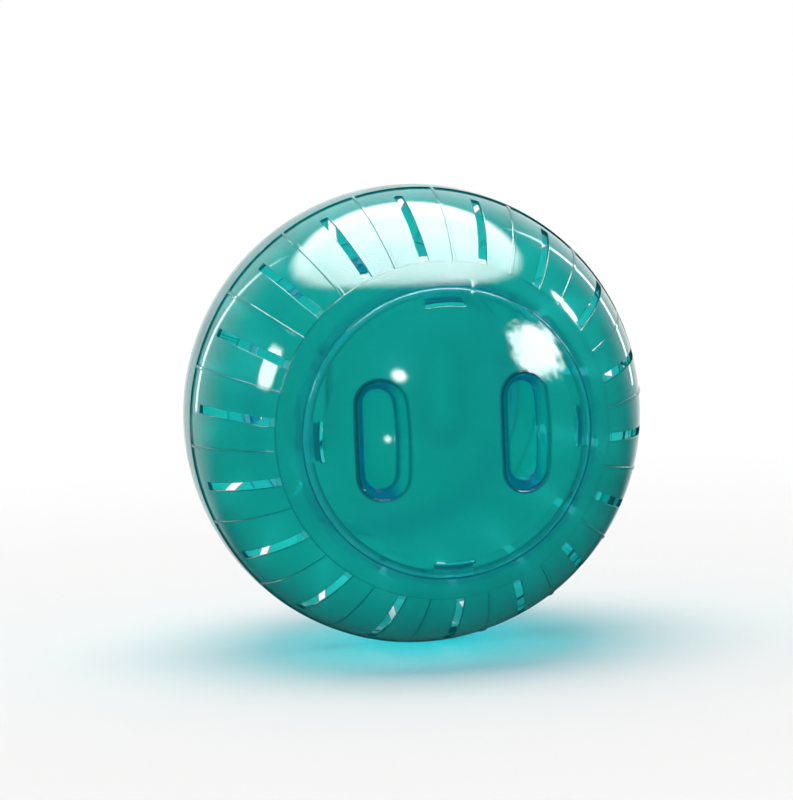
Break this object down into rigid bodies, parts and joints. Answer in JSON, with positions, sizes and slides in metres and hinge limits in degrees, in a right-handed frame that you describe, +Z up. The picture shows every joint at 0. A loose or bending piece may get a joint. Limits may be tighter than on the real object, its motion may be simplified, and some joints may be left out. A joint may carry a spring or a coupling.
{
  "type": "hamster ball",
  "caption": "Hollow exercise ball for a small pet, in two vented half shells with a twist-lock lid on each side.",
  "frame": {"origin": "centre of the ball", "axes": "the door axis is Y, with the front lid facing -Y; +Z up, along the finger pockets; +X to the right of someone who faces the front lid"},
  "size_m": [0.1778, 0.1778, 0.1778],
  "materials": {
    "tinted_shell": "clear tinted polystyrene, glossy",
    "tinted_lid": "clear tinted polystyrene, glossy"
  },
  "bodies": {
    "shell": {"front_half_shell": "tinted_shell", "back_half_shell": "tinted_shell"},
    "front_lid": {"front_lid": "tinted_lid"},
    "back_lid": {"back_lid": "tinted_lid"}
  },
  "joints": [
    {"name": "front_lid_lift", "type": "slide", "parent": "shell", "child": "front_lid", "axis": [0, -1, 0], "range_m": [0, 0.08]},
    {"name": "back_lid_twist", "type": "hinge", "parent": "shell", "child": "back_lid", "pos_m": [0, 0.07, 0], "axis": [0, 1, 0], "range_deg": [0, 20]}
  ]
}
